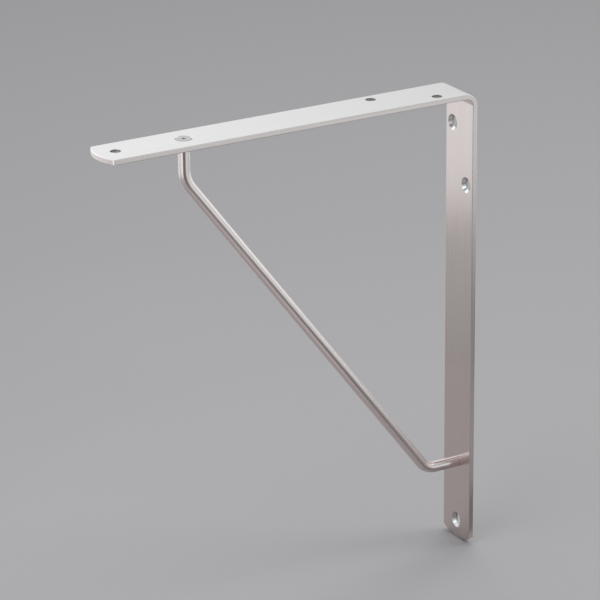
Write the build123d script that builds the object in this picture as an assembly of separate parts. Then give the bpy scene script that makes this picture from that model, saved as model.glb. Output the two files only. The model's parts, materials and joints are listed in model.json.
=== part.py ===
from build123d import *
import os
from math import radians, sqrt, tan

# Shelf bracket: one flat bar folded to a right angle, and a round-bar brace across the corner.
# Sizes are in millimetres. The wall is the plane Y = 0, with its outward side at +Y, and the shelf lies
# on the arm's top face. X = 0 is the bar's centre line, and Z = 0 is half way up the leg.

# Flat bar
bar_width = 30.0
bar_thickness = 3.2
arm_length = 250.0
leg_length = 300.0
bend_inner_radius = 4.8
end_arc_radius = 30.0
end_corner_round = 1.5
rim_round = 0.35

# Screw holes, all countersunk on the side that the screw enters from
screw_hole_diameter = 6.4
countersink_diameter = 10.0
countersink_angle = 90.0
hole_stagger = 7.8
shelf_hole_from_wall = 24.5
shelf_middle_hole_from_wall = 61.8
shelf_hole_from_tip = 12.5
wall_hole_from_shelf = 24.0
wall_middle_hole_from_shelf = 60.3
wall_hole_from_tip = 12.0

# Round-bar brace: a stub square to the arm, a straight run and a stub square to the leg
brace_diameter = 7.0
brace_from_wall = 193.2
brace_from_shelf = 247.2
upper_stub = 22.5
lower_stub = 23.0
upper_bend_radius = 20.0
lower_bend_radius = 12.0

# Riveted ends of the brace
tenon_diameter = 5.0
head_diameter = 10.4
head_angle = 90.0
head_rim_chamfer = 0.2
centre_mark_diameter = 2.4
centre_mark_angle = 90.0
seat_clearance = 0.05

# Planes that the sizes lead to
shelf_height = leg_length / 2
bar_half = bar_width / 2
arm_underside = shelf_height - bar_thickness


def sink_depth(hole_diameter, mouth_diameter, angle):
    """Depth of a cone that narrows from its mouth to the hole."""
    return (mouth_diameter - hole_diameter) / 2 / tan(radians(angle / 2))


def tongue(length):
    """The bar seen square on, from the fold down to its tip: straight sides and a shallow arc."""
    arc_rise = end_arc_radius - sqrt(end_arc_radius**2 - bar_half**2)
    shoulder = -(length - arc_rise)
    side = Line((bar_half, 0), (bar_half, shoulder))
    tip = ThreePointArc((bar_half, shoulder), (0, -length), (-bar_half, shoulder))
    back = Polyline((-bar_half, shoulder), (-bar_half, 0), (bar_half, 0))
    outline = make_face([side, tip, back])
    tip_corners = outline.vertices().sort_by(Axis.Y)[:2]
    return fillet(tip_corners, end_corner_round)


def folded_blank():
    """The L-shaped section with its bend, pulled across the bar's width."""
    corners = [
        (-arm_length, shelf_height),
        (0, shelf_height),
        (0, shelf_height - leg_length),
        (-bar_thickness, shelf_height - leg_length),
        (-bar_thickness, arm_underside),
        (-arm_length, arm_underside),
    ]
    section = make_face(Polyline(*corners, close=True))
    outer_corner = section.vertices().sort_by_distance((0, shelf_height))[0]
    section = fillet(outer_corner, bend_inner_radius + bar_thickness)
    inner_corner = section.vertices().sort_by_distance((-bar_thickness, arm_underside))[0]
    section = fillet(inner_corner, bend_inner_radius)
    return extrude(Plane.YZ * section, amount=bar_half, both=True)


def rim_edges(bar):
    """The edges all round both skins, without the bend's tangent lines and the corners of the ends."""
    across = bar.edges().filter_by(Axis.X)
    through = bar.edges().filter_by(lambda edge: abs(edge.length - bar_thickness) < 1e-3)
    return bar.edges() - across - through


def countersunk_cutter(hole_diameter, mouth_diameter, angle):
    """A hole through the bar. Its mouth is in the local XY plane, and it goes down local -Z."""
    depth = sink_depth(hole_diameter, mouth_diameter, angle)
    drill = Cylinder(hole_diameter / 2, 3 * bar_thickness)
    cone = Cone(hole_diameter / 2, mouth_diameter / 2, depth, align=(Align.CENTER, Align.CENTER, Align.MAX))
    return drill + cone


def screw_hole_planes():
    """Mouths of the screw holes: beneath the arm for the shelf, on the leg's front for the wall."""
    shelf_holes = [
        (hole_stagger, shelf_hole_from_wall),
        (-hole_stagger, shelf_middle_hole_from_wall),
        (0, arm_length - shelf_hole_from_tip),
    ]
    wall_holes = [
        (-hole_stagger, wall_hole_from_shelf),
        (hole_stagger, wall_middle_hole_from_shelf),
        (0, leg_length - wall_hole_from_tip),
    ]
    beneath = [Plane((x, -out, arm_underside), z_dir=(0, 0, -1)) for x, out in shelf_holes]
    in_front = [Plane((x, -bar_thickness, shelf_height - down), z_dir=(0, -1, 0)) for x, down in wall_holes]
    return beneath + in_front


def brace_seat_planes():
    """Outer faces of the bar where the brace's heads lie flush, looking out of the metal."""
    in_arm = Plane((0, -brace_from_wall, shelf_height), z_dir=(0, 0, 1))
    in_leg = Plane((0, 0, shelf_height - brace_from_shelf), z_dir=(0, 1, 0))
    return [in_arm, in_leg]


def folded_bar():
    """The flat bar: folded, its ends cut to arcs, its rims eased, then drilled and countersunk."""
    seen_from_above = extrude(tongue(arm_length), amount=leg_length, both=True)
    leg_plane = Plane((0, 0, shelf_height), x_dir=(1, 0, 0), z_dir=(0, -1, 0))
    seen_from_front = extrude(leg_plane * tongue(leg_length), amount=arm_length, both=True)
    bar = folded_blank() & seen_from_above & seen_from_front
    bar = fillet(rim_edges(bar), rim_round)
    screw_cutter = countersunk_cutter(screw_hole_diameter, countersink_diameter, countersink_angle)
    seat_cutter = countersunk_cutter(
        tenon_diameter + 2 * seat_clearance,
        head_diameter + 2 * seat_clearance,
        head_angle,
    )
    for plane in screw_hole_planes():
        bar -= plane * screw_cutter
    for plane in brace_seat_planes():
        bar -= plane * seat_cutter
    return bar


def riveted_end():
    """Tenon and spread head, turned about local Z, with the head's face in the local XY plane."""
    head_depth = sink_depth(tenon_diameter, head_diameter, head_angle)
    mark_depth = sink_depth(0, centre_mark_diameter, centre_mark_angle)
    cone_at_chamfer = head_diameter / 2 - head_rim_chamfer * tan(radians(head_angle / 2))
    half_profile = Polyline(
        (0, -bar_thickness),
        (tenon_diameter / 2, -bar_thickness),
        (tenon_diameter / 2, -head_depth),
        (cone_at_chamfer, -head_rim_chamfer),
        (cone_at_chamfer - head_rim_chamfer, 0),
        (centre_mark_diameter / 2, 0),
        (0, -mark_depth),
        close=True,
    )
    return revolve(Plane.XZ * make_face(half_profile), Axis.Z)


def brace_rod():
    """The round bar along its two bends, shouldered on the inner faces, with a riveted end each way."""
    centre_line = FilletPolyline(
        (0, -brace_from_wall, arm_underside),
        (0, -brace_from_wall, arm_underside - upper_stub),
        (0, -bar_thickness - lower_stub, shelf_height - brace_from_shelf),
        (0, -bar_thickness, shelf_height - brace_from_shelf),
        radius=(upper_bend_radius, lower_bend_radius),
    )
    section = Plane(centre_line @ 0, z_dir=centre_line % 0) * Circle(brace_diameter / 2)
    rod = sweep(section, path=centre_line)
    for plane in brace_seat_planes():
        rod += plane * riveted_end()
    return rod


os.makedirs("parts", exist_ok=True)
for name, solid in {"folded_bar": folded_bar(), "brace_rod": brace_rod()}.items():
    export_step(solid, f"parts/{name}.step")
    print(f"{name}: {len(solid.solids())} solid, {solid.volume / 1000:.2f} cubic centimetres")
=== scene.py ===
# %% [markdown]
# # A shelf bracket in satin steel
#
# A flat steel bar is folded to a right angle, and a round bar braces the corner. The two solids come
# with their true sizes. They are loaded first, so that all the rest can be measured from them.

# %% Load the measured solids
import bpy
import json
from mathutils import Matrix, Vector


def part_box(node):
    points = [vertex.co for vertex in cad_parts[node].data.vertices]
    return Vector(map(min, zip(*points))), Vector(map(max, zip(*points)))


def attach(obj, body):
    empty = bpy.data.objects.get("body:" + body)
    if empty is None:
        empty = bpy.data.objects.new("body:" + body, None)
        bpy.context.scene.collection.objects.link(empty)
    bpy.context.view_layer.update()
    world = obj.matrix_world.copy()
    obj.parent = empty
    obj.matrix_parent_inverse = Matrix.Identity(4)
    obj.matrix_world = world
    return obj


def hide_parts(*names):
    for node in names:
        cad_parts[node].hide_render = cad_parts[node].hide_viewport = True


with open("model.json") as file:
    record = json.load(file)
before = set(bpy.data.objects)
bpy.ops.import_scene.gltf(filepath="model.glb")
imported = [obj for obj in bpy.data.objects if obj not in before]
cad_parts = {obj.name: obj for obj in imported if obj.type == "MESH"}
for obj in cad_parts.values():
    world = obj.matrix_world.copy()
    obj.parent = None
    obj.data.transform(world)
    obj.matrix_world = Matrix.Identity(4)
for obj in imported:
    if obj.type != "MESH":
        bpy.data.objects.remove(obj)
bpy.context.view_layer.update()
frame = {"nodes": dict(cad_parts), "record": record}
print(len(frame["nodes"]), "solids")

# %% [markdown]
# ## Sizes
#
# Blender works in metres, and a bracket is drawn in millimetres, so `mm` turns one into the other.
# Lengths that the solids can tell are read from them and can't disagree with them. The rest, such as
# the thickness of the bar and the easing of its edges, are named here once.

# %% Sizes of the folded bar
import json
import math

import bpy
import numpy as np
from mathutils import Matrix

mm = 0.001
quarter = math.pi / 2
lowest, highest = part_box("folded_bar")
arm_length = -lowest.y
shelf_height = highest.z
foot_height = lowest.z
leg_length = shelf_height - foot_height
bar_half = highest.x

thickness = 3.2 * mm
bend_outer = 8.0 * mm
end_arc = 30.0 * mm
corner_round = 1.5 * mm
rim_round = 0.45 * mm
edge_ease = 0.12 * mm
print(f"arm {arm_length / mm:.1f}, leg {leg_length / mm:.1f}, width {2 * bar_half / mm:.1f} millimetres")

# %% [markdown]
# ## The bar before it is folded
#
# The maker drills a straight blank and folds it last. Doing the same here is easier than modelling
# the fold, because every hole is then a hole in a flat strip. A place in the blank is three numbers:
# how far along it is from the arm's tip, how far across, and how deep under the outer face. A fold
# keeps the length of the middle of the metal, and that gives the length of the blank.

# %% Length of the blank
bend_middle = bend_outer - thickness / 2
fold_start = arm_length - bend_outer
fold_end = fold_start + bend_middle * quarter
blank_length = fold_end + leg_length - bend_outer


def on_arm(from_wall):
    """Distance along the blank of a place on the arm: the arm's length less its distance from the wall."""
    return arm_length - from_wall


def on_leg(from_shelf):
    """Distance along the blank of a place on the leg: what the fold has used up, and the rest below it."""
    return fold_end + from_shelf - bend_outer


print(f"the blank is {blank_length / mm:.2f} millimetres long")

# %% [markdown]
# ## Where the holes are
#
# The screw holes stand in the record that comes with the solids, as places and directions, and they
# are read from there. The brace has two seats of its own, sunk from the outer face. A dictionary for
# each hole is enough, because a hole is only a place and a kind.

# %% The eight holes, along the blank
hole_radius = 3.2 * mm
sink_radius = 5.0 * mm
tenon_radius = 2.5 * mm
head_radius = 5.2 * mm
seat_gap = 0.05 * mm
brace_from_wall = 193.2 * mm
brace_from_shelf = 247.2 * mm

holes = []
for mount in frame["record"]["mounts"]:
    if mount["kind"] == "bore":
        across, toward_wall, up = mount["pos_m"]
        in_arm = "shelf" in mount["name"]
        along = on_arm(-toward_wall) if in_arm else on_leg(shelf_height - up)
        holes.append({"along": along, "across": across, "kind": "screw"})
for along in (on_arm(brace_from_wall), on_leg(brace_from_shelf)):
    holes.append({"along": along, "across": 0.0, "kind": "seat"})
holes.sort(key=lambda hole: hole["along"])
print("holes along the blank:", [round(hole["along"] / mm, 1) for hole in holes])

# %% [markdown]
# ## Corners that are never quite sharp
#
# No real corner is perfectly sharp, and one without a radius catches no light. The section of a hole
# is a broken line, so this function puts a small arc in each of its corners. It also gives the
# direction that each point faces, which is all that smooth shading needs. A Bevel modifier would
# round the corners as well, but it can't tell a hole's mouth from a facet of its wall.

# %% A broken line with eased corners


def eased_line(corners, ease, steps=4):
    """Each inner corner becomes an arc that touches both of its runs.

    The arc starts the radius times the tangent of half the turn before the corner, and its points
    are its centre plus the radius times a direction that turns evenly from one run's facing to the
    next. A run faces a quarter turn left of its travel. Returns the points and their facings."""
    corners = np.asarray(corners, float)
    runs = np.diff(corners, axis=0)
    runs /= np.linalg.norm(runs, axis=1)[:, None]
    facing = np.stack([-runs[:, 1], runs[:, 0]], axis=1)
    points, facings = [corners[:1]], [facing[:1]]
    for index in range(1, len(corners) - 1):
        before, after = facing[index - 1], facing[index]
        turn = math.atan2(before[0] * after[1] - before[1] * after[0], before @ after)
        inward = math.copysign(ease, turn) * before
        centre = corners[index] - runs[index - 1] * ease * math.tan(abs(turn) / 2) + inward
        angle = np.linspace(0, turn, steps + 1)[:, None]
        turning = before * np.cos(angle) + np.array([-before[1], before[0]]) * np.sin(angle)
        points.append(centre - math.copysign(ease, turn) * turning)
        facings.append(turning)
    points.append(corners[-1:])
    facings.append(facing[-1:])
    return np.concatenate(points), np.concatenate(facings)


# %% [markdown]
# ## Sections of the two kinds of hole
#
# A section is drawn as distance from the hole's middle against depth. It comes in along the outer
# face, goes down the hole and leaves along the inner face. The screw holes widen to a cone on the
# inner side, where the screw's head sits, and the seats widen on the outer side.

# %% Draw the sections
sink_depth = sink_radius - hole_radius
seat_mouth = head_radius + seat_gap
seat_bore = tenon_radius + seat_gap
seat_depth = seat_mouth - seat_bore
outside = 2 * sink_radius

screw_corners = [
    (outside, 0),
    (hole_radius, 0),
    (hole_radius, thickness - sink_depth),
    (sink_radius, thickness),
    (outside, thickness),
]
seat_corners = [
    (outside, 0),
    (seat_mouth, 0),
    (seat_bore, seat_depth),
    (seat_bore, thickness),
    (outside, thickness),
]
hole_sections = {
    "screw": eased_line(screw_corners, edge_ease),
    "seat": eased_line(seat_corners, edge_ease),
}
print("points in a hole's section:", len(hole_sections["screw"][0]) - 2)

# %% [markdown]
# ## The outline of an end
#
# Both ends of the bar are cut to a shallow arc, with a small round where it meets each side. Asking
# for the point that faces a given way is the neat way to draw such an outline: the answer lies on
# the large arc for directions near straight out, and on a corner's round for the rest.

# %% Edge of the flat face at an end
side = bar_half - rim_round
corner_across = bar_half - corner_round
corner_from_tip = end_arc - math.sqrt((end_arc - corner_round) ** 2 - corner_across**2)
corner_angle = math.asin(corner_across / (end_arc - corner_round))


def end_edge(angle):
    """Distance from the tip and place across of the point that faces `angle` from straight out.

    It is the middle of its arc plus the arc's radius times that direction. The radius is less by
    the rounding of the rim, which belongs to another patch."""
    on_arc = np.abs(angle) <= corner_angle
    middle_across = np.where(on_arc, 0.0, np.sign(angle) * corner_across)
    middle_from_tip = np.where(on_arc, end_arc, corner_from_tip)
    radius = np.where(on_arc, end_arc, corner_round) - rim_round
    return middle_from_tip - radius * np.cos(angle), middle_across + radius * np.sin(angle)


corner_turn = np.linspace(corner_angle, quarter, 7)
arc_turn = np.linspace(-corner_angle, corner_angle, 29)
end_angles = np.concatenate([-corner_turn[:0:-1], arc_turn, corner_turn[1:]])
print(f"the end's arc rises {(end_arc - math.sqrt(end_arc**2 - bar_half**2)) / mm:.2f} millimetres")

# %% [markdown]
# ## Cut the blank into spans
#
# A grid of four-sided faces can't have a round hole in it. So the blank is cut across into spans:
# plain ones, and one round each hole. Spans share the points of the lines where they meet, and that
# is what lets them be joined without a gap. Stations lie close together only where the fold will be.

# %% Spans and their stations
hole_reach = 9.0 * mm
end_reach = 24.0 * mm
fold_margin = 4.0 * mm
fold_stations = np.linspace(fold_start - fold_margin, fold_end + fold_margin, 49)
coarse_stations = np.arange(0, blank_length, 6 * mm)
outside_fold = (coarse_stations < fold_stations[0]) | (coarse_stations > fold_stations[-1])
marks = np.union1d(coarse_stations[outside_fold], fold_stations)


def plain_span(start, end):
    """A span without a hole, with every mark of the blank that lies inside it as a station."""
    inside = marks[(marks > start + mm) & (marks < end - mm)]
    return {"stations": np.concatenate([[start], inside, [end]]), "hole": None, "end": None}


def drilled_span(hole):
    """The span round a hole. At an end of the bar its sides stop where the end's outline begins."""
    if hole["along"] < end_reach:
        start, end, which = corner_from_tip, end_reach, "tip"
    elif hole["along"] > blank_length - end_reach:
        start, end, which = blank_length - end_reach, blank_length - corner_from_tip, "foot"
    else:
        start, end, which = hole["along"] - hole_reach, hole["along"] + hole_reach, None
    return {"stations": np.linspace(start, end, 25), "hole": hole, "end": which}


spans = []
for hole in holes:
    span = drilled_span(hole)
    if spans:
        spans.append(plain_span(spans[-1]["stations"][-1], span["stations"][0]))
    spans.append(span)
print(len(spans), "spans")

# %% [markdown]
# ## Patches
#
# A patch is a grid of points with, for each, the way it faces and a place on a chart. The chart runs
# along the grain, and brushed metal needs it to know which way to smear a reflection. Every patch of
# the bar is kept in one list, with a number, or one for each column, that says which finish it gets.

# %% Plain spans, outer and inner face
next_to_side = side - 0.6 * mm
columns = np.concatenate([[-side], np.linspace(-next_to_side, next_to_side, 19), [side]])
SATIN, CUT, TURNED = 0, 1, 2
patches = []


def add_patch(finish, along, across, depth, facing, chart):
    """Stacks three grids of numbers into one grid of places, and keeps it with its facings and chart."""
    place = np.stack(np.broadcast_arrays(along, across, depth), axis=-1)
    facings = np.stack(np.broadcast_arrays(*facing, place[..., 0])[:3], axis=-1)
    charts = np.stack(np.broadcast_arrays(*chart, place[..., 0])[:2], axis=-1)
    patches.append((finish, place, facings, charts))


for span in spans:
    if span["hole"] is None:
        along, across = np.meshgrid(span["stations"], columns, indexing="ij")
        add_patch(SATIN, along, across, 0.0, (0, 0, -1), (along, across))
        add_patch(SATIN, along, across, thickness, (0, 0, 1), (along, across))
print(len(patches), "patches from the plain spans")

# %% [markdown]
# ## From a round hole to a straight edge
#
# Round a hole the grid goes in rings. The outermost ring is the border of the span, and the innermost
# is the mouth of the hole. Each point of the border looks at the middle of the hole, and the point of
# the mouth that it meets lies on that line of sight. In between, a ring is a blend of the two.

# %% The border of a drilled span


def border(span):
    """The closed loop round a span: out along one side, across, back along the other and across."""
    stations = span["stations"]
    near = (np.full(len(columns), stations[0]), columns[::-1])
    far = (np.full(len(columns), stations[-1]), columns)
    if span["end"] == "tip":
        near = end_edge(end_angles[::-1])
    if span["end"] == "foot":
        from_tip, across = end_edge(end_angles)
        far = (blank_length - from_tip, across)
    lower = (stations, np.full(len(stations), -side))
    upper = (stations[::-1], np.full(len(stations), side))
    along = np.concatenate([lower[0][:-1], far[0][:-1], upper[0][:-1], near[0]])
    across = np.concatenate([lower[1][:-1], far[1][:-1], upper[1][:-1], near[1]])
    return along, across


# %% Rings on both faces, and the wall of the hole
blend = np.array([0, 0.08, 0.3, 0.6, 0.85, 1.0])[:, None]

for span in spans:
    if span["hole"] is None:
        continue
    hole = span["hole"]
    edge_along, edge_across = border(span)
    sight = np.unwrap(np.arctan2(edge_across - hole["across"], edge_along - hole["along"]))
    section, section_facing = (part[1:-1] for part in hole_sections[hole["kind"]])
    for mouth, depth, facing in ((section[0, 0], 0.0, -1), (section[-1, 0], thickness, 1)):
        ring_along = hole["along"] + mouth * np.cos(sight)
        ring_across = hole["across"] + mouth * np.sin(sight)
        along = edge_along * (1 - blend) + ring_along * blend
        across = edge_across * (1 - blend) + ring_across * blend
        add_patch(SATIN, along, across, depth, (0, 0, facing), (along, across))
    radius, depth = section[:, :1], section[:, 1:]
    outward, downward = section_facing[:, :1], section_facing[:, 1:]
    along = hole["along"] + radius * np.cos(sight)
    across = hole["across"] + radius * np.sin(sight)
    facing = (outward * np.cos(sight), outward * np.sin(sight), downward)
    add_patch(TURNED, along, across, depth, facing, (sight * hole_radius, depth + 0 * sight))
print(len(patches), "patches with the drilled spans")

# %% [markdown]
# ## The rim
#
# The rim runs once round the whole bar: down one side, round the foot, back up and round the tip. Its
# section is a quarter round, a flat and another quarter round, and it is carried along the outline
# that the two faces leave open. The sides were sheared and get a finish of their own, while the arcs
# of the ends were ground after cutting and are as bright as the faces.

# %% Outline of the faces, with the way that each point looks out


def outline():
    """The loop round both faces: the stations of each side, and the two ends by their facings."""
    sides = np.unique(np.concatenate([span["stations"] for span in spans]))
    tip_along, tip_across = end_edge(end_angles[::-1])
    foot_along, foot_across = end_edge(end_angles)
    inner = sides[1:-1]
    along = np.concatenate([inner, blank_length - foot_along, inner[::-1], tip_along])
    one_side = np.full(len(inner), side)
    across = np.concatenate([-one_side, foot_across, one_side, tip_across])
    flat = np.zeros(len(inner))
    look_along = np.concatenate([flat, np.cos(end_angles), flat, -np.cos(end_angles[::-1])])
    look_across = np.concatenate([flat - 1, np.sin(end_angles), flat + 1, np.sin(end_angles[::-1])])
    loop = np.stack([along, across, look_along, look_across])
    return np.concatenate([loop, loop[:, :1]], axis=1)


# %% Carry the rim's section along the outline
edge_along, edge_across, look_along, look_across = outline()
walked = np.concatenate([[0], np.cumsum(np.hypot(np.diff(edge_along), np.diff(edge_across)))])
rounding = np.linspace(0, quarter, 6)
rim_facing = np.concatenate([rounding, [quarter] * 2, quarter + rounding])[:, None]
rim_depth = np.concatenate(
    [
        rim_round * (1 - np.cos(rounding)),
        thickness * np.array([1, 2]) / 3,
        thickness - rim_round * (1 - np.sin(rounding)),
    ]
)[:, None]
rim_out = rim_round * np.sin(rim_facing)
is_ground = np.abs(look_along[:-1]) > 0.85
add_patch(
    np.where(is_ground, SATIN, CUT),
    edge_along + rim_out * look_along,
    edge_across + rim_out * look_across,
    rim_depth,
    (np.sin(rim_facing) * look_along, np.sin(rim_facing) * look_across, -np.cos(rim_facing)),
    (walked, rim_depth + rim_out),
)
print(f"the rim is {walked[-1] / mm:.1f} millimetres round")

# %% [markdown]
# ## Fold the blank
#
# Folding is a rule that takes a place in the blank to a place in the room. Before the fold it is the
# arm, after it the leg, and between them a quarter of a circle. Steel that is bent cold bulges a
# little at the inside of the fold and draws in at the outside, so the rule widens it there too.

# %% The rule of the fold
edge_bulge = 0.012
bulge_reach = (fold_end - fold_start) / 2 + thickness


def fold(place):
    """Takes along, across and depth to a place in the room.

    The angle is what has been walked into the fold over the radius of the metal's middle. Height
    and reach are the fold's centre plus the radius at that depth times the angle's cosine and sine,
    and what lies before or after the fold goes straight on. The width grows in proportion to the
    depth below the middle, times a squared cosine that fades out on either side of the fold."""
    along, across, depth = place.T
    angle = np.clip((along - fold_start) / bend_middle, 0, quarter)
    before = np.minimum(along - fold_start, 0)
    after = np.maximum(along - fold_end, 0)
    radius = bend_outer - depth
    from_middle = np.clip((along - (fold_start + fold_end) / 2) / bulge_reach, -1, 1)
    wider = 1 + edge_bulge * (2 * depth / thickness - 1) * np.cos(from_middle * quarter) ** 2
    toward_wall = radius * np.sin(angle) - bend_outer + before
    up = shelf_height - bend_outer + radius * np.cos(angle) - after
    return np.stack([across * wider, toward_wall, up], axis=1)


corner_place = np.array([[fold_start, 0, 0], [(fold_start + fold_end) / 2, 0, 0], [fold_end, 0, 0]])
print("outer face through the fold:", (fold(corner_place)[:, 1:] / mm).round(2).tolist())

# %% [markdown]
# ## Join the patches
#
# Points of different patches that lie in one place become one point, so that the surface is closed.
# The patches are joined while they are still flat, where shared places are easy to tell. A closed
# surface has exactly two faces at each of its edges, and counting them is the test.

# %% Join places that coincide


def join(patches):
    """Rounds all places to a ten-thousandth of a millimetre and keeps each different one once.

    Facings of joined points are averaged. Returns the places and facings, and for each face its four
    corners, their charts and its finish."""
    place = np.concatenate([patch[1].reshape(-1, 3) for patch in patches])
    facing = np.concatenate([patch[2].reshape(-1, 3) for patch in patches])
    chart = np.concatenate([patch[3].reshape(-1, 2) for patch in patches])
    corners, finish, first = [], [], 0
    for number, grid, _, _ in patches:
        index = first + np.arange(grid[..., 0].size).reshape(grid.shape[:2])
        quads = np.stack([index[:-1, :-1], index[1:, :-1], index[1:, 1:], index[:-1, 1:]], axis=-1)
        corners.append(quads.reshape(-1, 4))
        finish.append(np.broadcast_to(number, quads.shape[:2]).ravel())
        first += index.size
    corners, finish = np.concatenate(corners), np.concatenate(finish)
    _, kept, same = np.unique((place / mm * 1e4).round(), axis=0, return_index=True, return_inverse=True)
    total = np.zeros((len(kept), 3))
    np.add.at(total, same.ravel(), facing)
    total /= np.linalg.norm(total, axis=1)[:, None]
    return place[kept], total, same.ravel()[corners], chart[corners], finish


# %% Count the faces at each edge


def open_edges(faces):
    """Edges that don't have exactly two faces. Zero means that the surface is closed."""
    pairs = np.stack([faces, np.roll(faces, -1, axis=1)], axis=-1).reshape(-1, 2)
    pairs = np.sort(pairs[pairs[:, 0] != pairs[:, 1]], axis=1)
    return int((np.unique(pairs, axis=0, return_counts=True)[1] != 2).sum())


blank = join(patches)
print(len(blank[0]), "points,", len(blank[2]), "faces,", open_edges(blank[2]), "open edges")

# %% [markdown]
# ## Bend a surface and its facings
#
# A rule that bends places has to bend the facings too, or the light would still fall on a flat bar.
# Three tiny steps show how the rule stretches and turns space at a point. A facing goes along with
# the cross products of those steps, which stay square to the surface however it is bent.

# %% Facings that follow a bend


def bent(place, facing, rule):
    """Places and facings after a rule such as the fold.

    Each step is the rule's change over a ten-thousandth of a millimetre along one direction. The new
    facing is the sum of each part of the old one times the cross product of the other two steps."""
    reach = 1e-4 * mm
    step = [(rule(place + axis) - rule(place - axis)) / (2 * reach) for axis in np.eye(3) * reach]
    turned = sum(facing[:, k, None] * np.cross(step[(k + 1) % 3], step[(k + 2) % 3]) for k in range(3))
    return rule(place), turned / np.linalg.norm(turned, axis=1)[:, None]


# %% [markdown]
# ## From arrays to a mesh
#
# Faces could be added to a mesh one at a time. `foreach_set` puts in a whole array at once and is far
# quicker. Some places get a tone of their own, which is painted light: a painted highlight on the eased
# edges and on the corners of the ends, and painted shade on the walls of the bores and at the edge and
# punch mark of a head. The way that a place faces tells which it is, so three values from nothing to one
# go into the mesh as well, for the finishes to read.

# %% Values that tell a finish where it is


def ramp(value, start, stop):
    """Nothing up to the start, one from the stop on, and an even rise between them."""
    return np.clip((value - start) / (stop - start), 0, 1)


def mark_places(mesh, facing, section_axis):
    """Writes the three values at each point, worked out from the way it faced before bending.

    An easing is one where the surface leans by half a right angle, a wall where it stands square to
    the section's axis, and a corner that gets a painted highlight where it faces between the bar's end and
    its side."""
    lean = np.abs(facing[:, section_axis])
    to_end, to_side = np.abs(facing[:, 0]), np.abs(facing[:, 1])
    values = {
        # Eased edges: a painted highlight on the bar and the rod, and painted shade at a head's edge and
        # punch mark.
        "eased_edge": 1 - np.abs(2 * lean**2 - 1),
        # The walls of the bores, which get a darker tone: painted shade.
        "bore_wall": ramp(lean, 0.5, 0),
        # The corners of the ends, which get a lighter tone: a painted highlight.
        "painted_highlight_corner": ramp(to_side, 0.55, 0.675) * ramp(to_end, 0.125, 0.25),
    }
    for label, value in values.items():
        mesh.attributes.new(label, "FLOAT", "POINT").data.foreach_set("value", value.astype(np.float32))


# %% Make the mesh of a bent surface


def make_piece(name, surface, rule, section_axis):
    """Bends a joined surface and writes it into a new object at the origin.

    Faces whose corners run against their facings are turned round, and a face with two corners in
    one place loses one of them. The place before bending goes along in millimetres."""
    place, facing, faces, charts, finish = surface
    points, normals = bent(place, facing, rule)
    one_way = points[faces[:, 2]] - points[faces[:, 0]]
    other_way = points[faces[:, 3]] - points[faces[:, 1]]
    inward = (np.cross(one_way, other_way) * normals[faces].sum(axis=1)).sum(axis=1) < 0
    faces, charts = faces.copy(), charts.copy()
    faces[inward], charts[inward] = faces[inward, ::-1], charts[inward, ::-1]
    kept = faces != np.roll(faces, 1, axis=1)
    sizes = kept.sum(axis=1)

    mesh = bpy.data.meshes.new(name)
    mesh.vertices.add(len(points))
    mesh.vertices.foreach_set("co", points.astype(np.float32).ravel())
    mesh.loops.add(int(sizes.sum()))
    mesh.loops.foreach_set("vertex_index", faces[kept].astype(np.int32))
    mesh.polygons.add(len(faces))
    mesh.polygons.foreach_set("loop_start", (np.cumsum(sizes) - sizes).astype(np.int32))
    mesh.polygons.foreach_set("material_index", finish.astype(np.int32))
    mesh.polygons.foreach_set("use_smooth", np.ones(len(faces), bool))
    mesh.update(calc_edges=True)
    mesh.uv_layers.new(name="grain_chart").uv.foreach_set("vector", charts[kept].astype(np.float32).ravel())
    before = mesh.attributes.new("before_bending", "FLOAT_VECTOR", "POINT")
    before.data.foreach_set("vector", (place / mm).astype(np.float32).ravel())
    mark_places(mesh, facing, section_axis)
    mesh.normals_split_custom_set_from_vertices(normals.tolist())

    piece = bpy.data.objects.new(name, mesh)
    bpy.context.scene.collection.objects.link(piece)
    print(f"{name}: {len(points)} points, {int((sizes - 2).sum())} triangles")
    return piece


# %% The folded bar
folded_bar = make_piece("satin_folded_bar", blank, fold, section_axis=2)

# %% [markdown]
# ## The line of the brace
#
# The brace leaves the arm straight down, turns, slants to the leg, turns again and meets the leg
# square on. A line of straights and arcs is best told as a walk: how far each piece goes, how it
# heads at its start and how fast it turns. Any distance along the walk then has a place.

# %% Straights and bends of the brace
brace_radius = 3.5 * mm
upper_stub = 22.5 * mm
lower_stub = 23.0 * mm
upper_bend = 20.0 * mm
lower_bend = 12.0 * mm
arm_underside = shelf_height - thickness

upper_corner = np.array([-brace_from_wall, arm_underside - upper_stub])
lower_corner = np.array([-thickness - lower_stub, shelf_height - brace_from_shelf])
slant = math.atan2(*(lower_corner - upper_corner)[::-1])
upper_turn, lower_turn = slant + quarter, -slant
upper_reach = upper_bend * math.tan(upper_turn / 2)
lower_reach = lower_bend * math.tan(lower_turn / 2)
diagonal = math.dist(upper_corner, lower_corner) - upper_reach - lower_reach
walk = [
    (upper_stub - upper_reach, -quarter, 0.0),
    (upper_bend * upper_turn, -quarter, 1 / upper_bend),
    (diagonal, slant, 0.0),
    (lower_bend * lower_turn, slant, 1 / lower_bend),
    (lower_stub - lower_reach, 0.0, 0.0),
]
walk_ends = np.cumsum([length for length, _, _ in walk])
brace_length = walk_ends[-1]
print(f"bends of {math.degrees(upper_turn):.1f} and {math.degrees(lower_turn):.1f} degrees")


# %% Bend the straight rod along the walk


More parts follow.
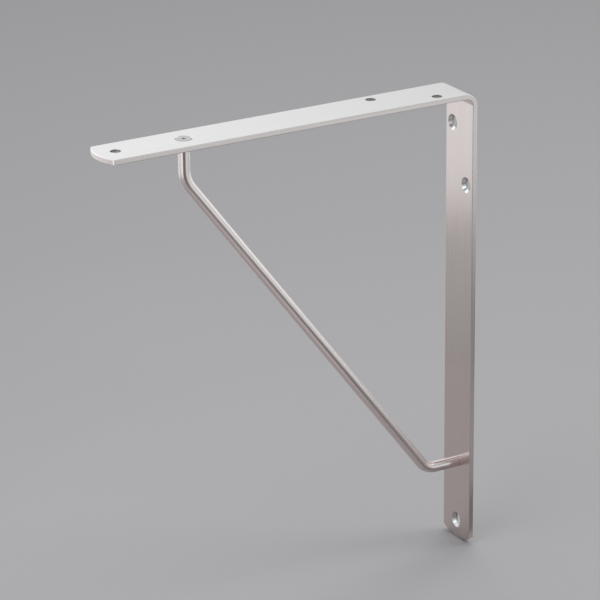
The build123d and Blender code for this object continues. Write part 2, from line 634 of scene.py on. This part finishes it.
def bend_rod(place):
    """Takes distance, sideways and upright place in the straight rod to a place in the room.

    Each piece of the walk adds what has been walked of it: on a straight, its heading times that
    length, and on an arc, the change of the heading's sine and cosine over the rate of turning.
    Before its first and after its last piece the walk goes straight on."""
    distance, sideways, upright = place.T
    toward_wall = np.full_like(distance, -brace_from_wall)
    up = np.full_like(distance, arm_underside)
    heading = np.full_like(distance, -quarter)
    for number, (length, start_heading, rate) in enumerate(walk):
        begin = -np.inf if number == 0 else 0.0
        stop = np.inf if number == len(walk) - 1 else length
        walked = np.clip(distance - (walk_ends[number] - length), begin, stop)
        if rate:
            turned = start_heading + rate * walked
            toward_wall += (np.sin(turned) - math.sin(start_heading)) / rate
            up += (math.cos(start_heading) - np.cos(turned)) / rate
            heading += rate * walked
        else:
            toward_wall += math.cos(start_heading) * walked
            up += math.sin(start_heading) * walked
    toward_wall -= upright * np.sin(heading)
    up += upright * np.cos(heading)
    return np.stack([sideways, toward_wall, up], axis=1)


far_end = bend_rod(np.array([[brace_length, 0, 0]]))[0]
print("the walk ends", (far_end / mm).round(3).tolist(), "and the leg's inner face is at", -thickness / mm)

# %% [markdown]
# ## The brace, straight
#
# The rod was turned down to a thinner tenon at both ends, put through the bar and hammered over, so
# that its head fills the seat. Its outline is drawn once, from the punch mark in the head to the
# shoulder, and used at both ends. Turning that outline about the rod makes the surface.

# %% Outline of the rod, from punch mark to punch mark
mark_radius = 1.2 * mm
head_chamfer = 0.2 * mm
head_flat = head_radius - 2 * head_chamfer
head_rim = head_radius - head_chamfer
head_depth = head_radius - tenon_radius
end_corners = [
    (mark_radius - thickness, 0),
    (-thickness, mark_radius),
    (-thickness, head_flat),
    (head_chamfer - thickness, head_rim),
    (head_depth - thickness, tenon_radius),
    (0, tenon_radius),
    (0, brace_radius),
    (brace_radius, brace_radius),
]
end_points, end_facings = eased_line(end_corners, edge_ease)
end_points, end_facings = end_points[:-1], end_facings[:-1]
pieces_of_walk = np.concatenate([[0], walk_ends])
body = [
    np.linspace(start, stop, 5 if rate == 0 else 25)[1:]
    for start, stop, (_, _, rate) in zip(pieces_of_walk[:-1], pieces_of_walk[1:], walk)
]
body = np.concatenate(body)[:-1]
distance = np.concatenate([end_points[:, 0], body, brace_length - end_points[::-1, 0]])
radius = np.concatenate([end_points[:, 1], np.full(len(body), brace_radius), end_points[::-1, 1]])
facing_along = np.concatenate([end_facings[:, 0], 0 * body, -end_facings[::-1, 0]])
facing_out = np.concatenate([end_facings[:, 1], 0 * body + 1, end_facings[::-1, 1]])
print(f"the rod is {brace_length / mm:.1f} millimetres long between its shoulders")

# %% Turn the outline about the rod
around = np.linspace(0, 2 * math.pi, 65)
distance, radius, facing_along, facing_out = (
    line[:, None] for line in (distance, radius, facing_along, facing_out)
)
patches = []
rings = (
    (TURNED, slice(0, len(end_points))),
    (SATIN, slice(len(end_points) - 1, len(end_points) + len(body) + 1)),
    (TURNED, slice(-len(end_points), None)),
)
for finish, part in rings:
    add_patch(
        finish,
        distance[part],
        radius[part] * np.cos(around),
        radius[part] * np.sin(around),
        (facing_along[part], facing_out[part] * np.cos(around), facing_out[part] * np.sin(around)),
        (distance[part], around * brace_radius),
    )
rod = join(patches)
print(len(rod[0]), "points,", len(rod[2]), "faces,", open_edges(rod[2]), "open edges")
brace = make_piece("drawn_brace_rod", rod, bend_rod, section_axis=0)

# %% [markdown]
# ## Nodes, a little shorter
#
# A finish is a small network of nodes. Making one in Python takes three steps each time: add it, set
# it up and link it. This helper does all three, and fills an input with a number or with a link.

# %% Add a node


def add_node(tree, kind, inputs=(), **settings):
    """Adds a node, applies its settings, and fills each input with a value or a link."""
    node = tree.nodes.new(kind)
    for key, value in settings.items():
        setattr(node, key, value)
    for key, value in dict(inputs).items():
        if isinstance(value, bpy.types.NodeSocket):
            tree.links.new(value, node.inputs[key])
        else:
            node.inputs[key].default_value = value
    return node


def scaled(tree, value, low, high, to_low, to_high):
    """A value between low and high, stretched to lie between two other numbers."""
    levels = {"Value": value, "From Min": low, "From Max": high, "To Min": to_low, "To Max": to_high}
    return add_node(tree, "ShaderNodeMapRange", levels).outputs["Result"]


# %% [markdown]
# ## Grain that follows the bend
#
# Brushing leaves fine lines along the bar. Noise gets that look when it is drawn out in one direction.
# Its coordinates are the places before bending, so the lines run round the fold as they do on the
# real bar, where the blank was brushed first.

# %% Drawn-out noise


def grain(tree, along, across, seed, detail=2.0):
    """Noise whose lumps are `along` millimetres long and `across` millimetres wide."""
    place = add_node(tree, "ShaderNodeAttribute", attribute_name="before_bending").outputs["Vector"]
    inputs = {"Vector": place, "Location": (seed, seed, seed), "Scale": (1 / along, 1 / across, 1 / across)}
    drawn_out = add_node(tree, "ShaderNodeMapping", inputs).outputs["Vector"]
    lumps = {"Vector": drawn_out, "Scale": 1.0, "Detail": detail}
    return add_node(tree, "ShaderNodeTexNoise", lumps).outputs["Fac"]


# %% [markdown]
# ## One steel, five finishes
#
# The bar's faces were brushed along it and its sides sheared. The holes were sunk with a cutter, the rod
# was drawn through a die, and its ends were turned down and hammered. Each could have a network of nodes
# of its own, built by hand, but it is the same steel every time. One function that takes a few numbers
# keeps the five finishes alike where they should be.

# %% Fade one value into another


def mixed(tree, factor, first, second, kind="RGBA"):
    """One value or colour faded into another by a factor.

    A Mix node has sockets of the same names for numbers and for colours, so they go by their places."""
    mix = add_node(tree, "ShaderNodeMix", data_type=kind)
    socket = {"FLOAT": (2, 3, 0), "RGBA": (6, 7, 2)}[kind]
    for place, value in ((0, factor), (socket[0], first), (socket[1], second)):
        if isinstance(value, bpy.types.NodeSocket):
            tree.links.new(value, mix.inputs[place])
        else:
            mix.inputs[place].default_value = value
    return mix.outputs[socket[2]]


# %% A finish for steel
warm_steel = np.array([1.12, 0.97, 0.94])
plain_steel = np.array([1.04, 0.99, 0.98])


def steel(
    name, tone, streak, roughness, hairline,
    anisotropy=0.0, marked="eased_edge", mark=(1.15, 0.7), hue=warm_steel,
):
    """Metal of one tone and hue, with streaks, hairlines, cloudy patches and marked places.

    Streaks move the tone and the roughness together. Hairlines are too fine for colour, so they go
    into the bump. What the attribute `marked` picks out has tone and roughness times the two
    numbers of `mark`, and the changed tone is painted light: eased edges get a painted highlight and
    are smoother, as worn edges are; the corners of the ends a painted highlight and more roughness;
    bore walls painted shade and more roughness; the edge and punch mark of a head painted shade and
    more roughness. With anisotropy, a reflection smears across the grain, as it does on a brushed face."""
    material = bpy.data.materials.new(name)
    material.use_nodes = True
    tree = material.node_tree
    tree.nodes.clear()
    streaks = scaled(tree, grain(tree, along=90.0, across=0.9, seed=3.0), 0.25, 0.75, 0.0, 1.0)
    hairs = grain(tree, along=30.0, across=0.12, seed=11.0, detail=3.0)
    clouds = scaled(tree, grain(tree, along=28.0, across=14.0, seed=27.0), 0.3, 0.7, 0.92, 1.08)
    where = add_node(tree, "ShaderNodeAttribute", attribute_name=marked).outputs["Fac"]

    dark, light, special = [
        (*(tone * change * hue).tolist(), 1) for change in (1 - streak, 1 + streak, mark[0])
    ]
    colour = mixed(tree, where, mixed(tree, streaks, dark, light), special)
    rough = scaled(tree, streaks, 0.0, 1.0, roughness * 0.85, roughness * 1.15)
    rough = add_node(tree, "ShaderNodeMath", {0: rough, 1: clouds}, operation="MULTIPLY").outputs[0]
    rough = mixed(tree, where, rough, roughness * mark[1], "FLOAT")
    bump = add_node(tree, "ShaderNodeBump", {"Strength": hairline, "Distance": 0.05 * mm, "Height": hairs})
    tangent = add_node(tree, "ShaderNodeTangent", direction_type="UV_MAP", uv_map="grain_chart")
    inputs = {
        "Base Color": colour,
        "Metallic": 1.0,
        "Roughness": rough,
        "Anisotropic": anisotropy,
        "Anisotropic Rotation": 0.25,  # a quarter turn, from along the grain to across it
        "Normal": bump.outputs["Normal"],
        "Tangent": tangent.outputs["Tangent"],
    }
    shader = add_node(tree, "ShaderNodeBsdfPrincipled", inputs)
    add_node(tree, "ShaderNodeOutputMaterial", {"Surface": shader.outputs["BSDF"]})
    return material


# %% The finishes of both pieces
# By the default mark, the eased edges of the bar and the rod get a lighter tone, a painted highlight, and
# less roughness.
satin_bar = steel("satin_bar", tone=0.62, streak=0.03, roughness=0.17, hairline=0.25, anisotropy=0.5)
# The corners of the ends get a lighter tone, a painted highlight, and more roughness.
cut_rim = steel(
    "cut_rim", tone=0.56, streak=0.05, roughness=0.22, hairline=0.3,
    marked="painted_highlight_corner", mark=(1.63, 2.3),
)
# The walls of the bores get a darker tone, painted shade, and more roughness.
turned_sink = steel(
    "turned_sink", tone=0.60, streak=0.04, roughness=0.24, hairline=0.2,
    marked="bore_wall", mark=(0.65, 1.8), hue=plain_steel,
)
drawn_rod = steel("drawn_rod", tone=0.66, streak=0.03, roughness=0.18, hairline=0.2)
# The head's eased edges, at its rim beside the seat and in the punch mark, get a much darker tone: painted
# shade.
turned_head = steel("turned_head", tone=0.44, streak=0.16, roughness=0.36, hairline=0.3, mark=(0.25, 1.4))

# A patch's number says which of these it gets, counted from nothing. The rod has no sheared side, so
# its second place is never asked for.
finishes_of = {
    folded_bar: (satin_bar, cut_rim, turned_sink),
    brace: (drawn_rod, drawn_rod, turned_head),
}
for piece, finishes in finishes_of.items():
    for finish in finishes:
        piece.data.materials.append(finish)
    print(f"{piece.name}:", ", ".join(finish.name for finish in finishes))

# %% [markdown]
# ## Hand the pieces over
#
# Each new surface stands for the solid that it was measured from, and moves with the same body. The
# solids themselves are hidden, and stay for the physics.

# %% Pieces and solids
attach(folded_bar, "root")
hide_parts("folded_bar")
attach(brace, "root")
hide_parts("brace_rod")
print(folded_bar.name, "and", brace.name, "stand for the two solids")

# %% [markdown]
# ## Floor
#
# The bracket stands on its foot on a sheet of plain pale paper, which fills the picture from every
# side unless the view is low. A curved backdrop would hide the far edge from low down as well, but it
# has a front and a back, and this bracket is looked at from all round.

# %% A sheet of pale paper
floor_half = 12.0
floor_mesh = bpy.data.meshes.new("paper_floor")
corners = np.array([[-1, -1], [1, -1], [1, 1], [-1, 1]]) * floor_half
floor_mesh.from_pydata([(*corner, foot_height) for corner in corners.tolist()], [], [(0, 1, 2, 3)])
paper_floor = bpy.data.objects.new("paper_floor", floor_mesh)
bpy.context.scene.collection.objects.link(paper_floor)

paper = bpy.data.materials.new("pale_paper")
paper.use_nodes = True
paper_shader = paper.node_tree.nodes["Principled BSDF"]
paper_shader.inputs["Base Color"].default_value = (0.405, 0.399, 0.412, 1)
paper_shader.inputs["Roughness"].default_value = 0.9
paper_shader.inputs["Specular IOR Level"].default_value = 0.1
floor_mesh.materials.append(paper)
print(f"the paper is {2 * floor_half:.0f} metres wide and lies at {foot_height / mm:.0f} millimetres")

# %% [markdown]
# ## Camera
#
# A long lens from well back shows the sides of the bar as nearly parallel lines. The camera is placed
# by the way it looks: round the bracket, down on it, and a hair's breadth of roll. A constraint could
# aim it, but its directions are wanted again below, to place the lamps by.

# %% Place the camera
turn_round, look_down, roll = math.radians(60.22), math.radians(20.88), math.radians(-0.58)
camera_distance = 1970.82 * mm

# A point inside the corner, and how far right and up of the picture's middle the camera sees it.
aim = np.array([0, -130.0, 0]) * mm
aim_right, aim_up = -11.39 * mm, -34.73 * mm

flat_away = np.array([math.sin(turn_round), -math.cos(turn_round), 0])
away = math.cos(look_down) * flat_away + np.array([0, 0, math.sin(look_down)])
level = np.cross((0, 0, 1), flat_away)
square = np.cross(level, -away)
right = math.cos(roll) * level + math.sin(roll) * square
up = math.cos(roll) * square - math.sin(roll) * level
stand = aim - aim_right * right - aim_up * up + camera_distance * away

camera = bpy.data.objects.new("camera", bpy.data.cameras.new("camera"))
camera.data.lens = 195.3
camera.data.clip_end = 100
axes = np.stack([right, up, away, stand], axis=1)
camera.matrix_world = Matrix([*axes.tolist(), [0, 0, 0, 1]])
bpy.context.scene.collection.objects.link(camera)
bpy.context.scene.camera = camera
print("the camera stands at", stand.round(3).tolist())

# %% [markdown]
# ## Light
#
# The soft room light comes from everywhere. Three large lamps add to it: one behind and above, one on
# the right, and one in front on the left. The bracket keeps a little of each from the paper, and that
# makes the gentle shadows at its foot. The lamps stay out of the mirrors, because the steel would show
# them as hard squares. A sun lamp would be quicker, but its shadows would be too sharp.

# %% Room light
world = bpy.data.worlds.new("room_light")
world.use_nodes = True
background = world.node_tree.nodes["Background"]
background.inputs["Color"].default_value = (1, 1, 1, 1)
background.inputs["Strength"].default_value = 0.52
bpy.context.scene.world = world
print(f"room light of strength {background.inputs['Strength'].default_value:.2f}")


# %% Soft lamps


def soft_lamp(name, place, target, side, brightness):
    """A square lamp that faces a target. Its power is its brightness times its area times pi."""
    data = bpy.data.lights.new(name, "AREA")
    data.size = side
    data.energy = brightness * side**2 * math.pi
    lamp = bpy.data.objects.new(name, data)
    back = (place - target) / np.linalg.norm(place - target)
    across = np.cross((0, 0, 1), back)
    across /= np.linalg.norm(across)
    axes = np.stack([across, np.cross(back, across), back, place], axis=1)
    lamp.matrix_world = Matrix([*axes.tolist(), [0, 0, 0, 1]])
    lamp.visible_camera = False
    bpy.context.scene.collection.objects.link(lamp)
    return lamp


# %% Three lamps
# Each has what it faces, where it stands from there (toward the camera, to the right and up), the length
# of its side and its brightness.
middle = np.array([0, -arm_length / 2, 0])
beside_foot = 0.05 * flat_away - 0.22 * level + np.array([0, 0, foot_height])
lamps = {
    "back_lamp": (middle, (-1.0, 0.2, 1.8), 1.2, 2.9),
    "right_lamp": (middle, (-0.25, 0.95, 1.0), 0.5, 4.0),
    "fill_lamp": (beside_foot, (0.22, -0.12, 0.7), 0.45, 2.1),
}
for name, (target, (nearer, rightward, above), lamp_side, strength) in lamps.items():
    place = target + nearer * flat_away + rightward * level + np.array([0, 0, above])
    soft_lamp(name, place, target, lamp_side, strength).visible_glossy = False
print(len(lamps), "lamps")

# %% [markdown]
# ## What the steel mirrors
#
# Metal shows what stands round it. Here that is a round tent of white cloth, as photographers use it,
# and its foot curves into the floor. The tent is open toward the camera, with a dark table and runner
# before the opening, and that draws the thin dark line down the middle of the round bar. All of it can
# be seen in the metal only: the camera looks through it, and it lights nothing else. An environment
# picture could do the same, but it has no distances, so the long flat bar would mirror one tone.

# %% Show a surface in mirrors only


def mirrored_only(name, points, glow, rows, columns):
    """A grid of points that glows with a colour at each point and is seen by glossy rays alone."""
    mesh = bpy.data.meshes.new(name)
    first = (np.arange(rows - 1)[:, None] * columns + np.arange(columns - 1)).ravel()
    quads = np.stack([first, first + 1, first + columns + 1, first + columns], axis=1)
    mesh.from_pydata(points.tolist(), [], quads.tolist())
    colours = np.concatenate([glow, np.ones((len(glow), 1))], axis=1).astype(np.float32)
    mesh.attributes.new("glow", "FLOAT_COLOR", "POINT").data.foreach_set("color", colours.ravel())
    surface = bpy.data.objects.new(name, mesh)
    bpy.context.scene.collection.objects.link(surface)
    surface.visible_camera = surface.visible_diffuse = surface.visible_shadow = False
    material = bpy.data.materials.new(name)
    material.use_nodes = True
    tree = material.node_tree
    tree.nodes.clear()
    colour = add_node(tree, "ShaderNodeAttribute", attribute_name="glow").outputs["Color"]
    emission = add_node(tree, "ShaderNodeEmission", {"Color": colour, "Strength": 1.0})
    add_node(tree, "ShaderNodeOutputMaterial", {"Surface": emission.outputs["Emission"]})
    mesh.materials.append(material)


# %% Shape of the tent
tent_radius = 0.60
round_it = np.linspace(12, 326, 158)
cove_reach = [0.30, 0.36, 0.43, 0.505, 0.557, 0.583]
cove_height = [0.001, 0.001, 0.001, 0.002, 0.003, 0.006]
wall_height = [0.012, 0.03, 0.06, 0.1, *np.linspace(0.15, 1.2, 22)]
reach = np.array(cove_reach + [tent_radius] * len(wall_height))
height = np.array(cove_height + wall_height)

# Turns are in degrees, from the side where the camera stands toward the right of the picture.
turned = np.radians(round_it)[:, None, None]
plan = reach[:, None] * (np.cos(turned) * flat_away + np.sin(turned) * level)
tent_points = plan + np.stack([0 * height, 0 * height, foot_height + height], axis=1)
print(f"the tent is {2 * tent_radius} metres across and open over {360 - np.ptp(round_it):.0f} degrees")

# %% [markdown]
# ## Brightness of the cloth
#
# Cloth that is lit from outside is never even. It gets brighter upward and changes slowly round the
# tent, and the few numbers here are the tones at some turns and heights, with the rest blended between
# them. They were found by trial: a change, a render, and a look at how the steel now compares with the
# photograph. Soft boxes behind the cloth make bright spots, which give the countersinks their glints,
# and folds make dim ones.

# %% Tones round the tent and up its wall
tone_round = [(12, 0.85), (22, 0.78), (40, 0.98), (60, 0.97), (68, 0.94), (81, 0.76), (92, 0.74)]
tone_round += [(101, 0.9), (112, 1.5), (124, 1.8), (136, 1.25), (150, 0.88), (176, 0.77), (188, 0.86)]
tone_round += [(204, 0.94), (240, 1.0), (260, 0.98), (280, 0.85), (286, 0.8), (295, 0.57), (302, 0.9)]
tone_round += [(308, 1.06), (321, 1.19), (326, 1.25)]
tone_up = [(0.012, 0.70), (0.03, 0.89), (0.06, 0.95), (0.1, 1.0), (0.2, 1.08), (0.38, 1.09)]
tone_up += [(0.5, 1.29), (1.2, 1.5)]
brightness = np.interp(round_it, *zip(*tone_round))[:, None] * np.interp(height, *zip(*tone_up))
print(f"{len(tone_round)} tones round the tent and {len(tone_up)} up its wall")

# The cove is dimmer on the right, and on its far side a pale card lies on it.
left_cove = [0.40, 0.43, 0.46, 0.49, 0.51, 0.55]
right_cove = [0.29, 0.30, 0.32, 0.38, 0.45, 0.53]
card_turn, card_width, card_tones = 208, 13, [0, 0.3, 0.4, 0.4, 0.3, 0.1]
far_card = np.exp(-(((round_it[:, None] - card_turn) / card_width) ** 2)) * card_tones
is_left = round_it[:, None] > 150
brightness[:, : len(cove_reach)] = np.where(is_left, left_cove, right_cove) + far_card

# %% Soft boxes and folds
# Each has its turn, its height, what it adds, and how wide and how tall it is.
cloth_spots = {
    "near_left_box": (312, 0.60, 1.6, 13, 0.2),
    "far_left_box": (236, 0.62, 1.3, 13, 0.2),
    "low_left_box": (300, 0.28, 0.9, 12, 0.07),
    "right_fold": (62, 0.52, -0.85, 22, 0.2),
    "left_fold": (242, 0.28, -0.3, 20, 0.1),
    "top_left_fold": (285, 1.1, -0.9, 40, 0.3),
}
for turn, up, added, wide, tall in cloth_spots.values():
    aside = (round_it[:, None] - turn) / wide
    brightness += added * np.exp(-(aside**2) - ((height - up) / tall) ** 2)
print(f"the cloth's brightness goes from {brightness.min():.2f} to {brightness.max():.2f}")

# %% Cooler cloth high up and on the right
cool_up = np.interp(height, [0, 0.1, 0.5], [0.35, 0.4, 1.0])
cool_right = np.interp(round_it, [150, 200], [0.85, 0.0])[:, None]
coolness = np.maximum(cool_up, cool_right)[..., None]
cooler = np.array([-0.09, 0.03, 0.05])
glow = brightness[..., None] * (1 + coolness * cooler)
mirrored_only("white_tent", tent_points.reshape(-1, 3), glow.reshape(-1, 3), len(round_it), len(height))
print(f"the cloth has {glow[..., 0].size} points")

# %% [markdown]
# ## Painted reflections on the floor
#
# The leg and the round bar mirror the floor as well. Three flat sheets glow with set tones and are seen
# in reflections only, like the tent, so they are painted reflections: a dark table before the opening of
# the tent, a dark runner from it to the bracket's foot, and a pale card below the near side of the arm.
# Painting their tones on the steel would be quicker, but these reflections move when the view does.

# %% Sheets on the floor
# Each has its brightness near the bracket and away from it, and its four corners, as metres across
# the bar and toward the wall.
# The sheets glow with set tones and are seen only in the steel: painted reflections.
floor_sheets = {
    "dark_table_reflection": (0.18, 0.18, [(0.3, -0.9), (0.3, -0.06), (2.0, -0.9), (2.0, -0.06)]),
    "dark_runner_reflection": (0.23, 0.15, [(0.03, -0.02), (0.03, 0.04), (0.65, -0.2), (0.65, 0.1)]),
    "pale_card_reflection": (0.55, 0.55, [(0.06, -0.4), (0.06, -0.09), (0.17, -0.4), (0.17, -0.11)]),
}
for name, (near, far, corners) in floor_sheets.items():
    points = np.array([(*corner, foot_height + mm) for corner in corners])
    tones = np.array([near, near, far, far])
    mirrored_only(name, points, tones[:, None] * np.ones(3), 2, 2)
print(len(floor_sheets), "sheets lie on the floor")

# %% [markdown]
# ## Finish
#
# Plain colour management keeps the tones as they are worked out.

# %% Colour
bpy.context.scene.view_settings.view_transform = "Standard"
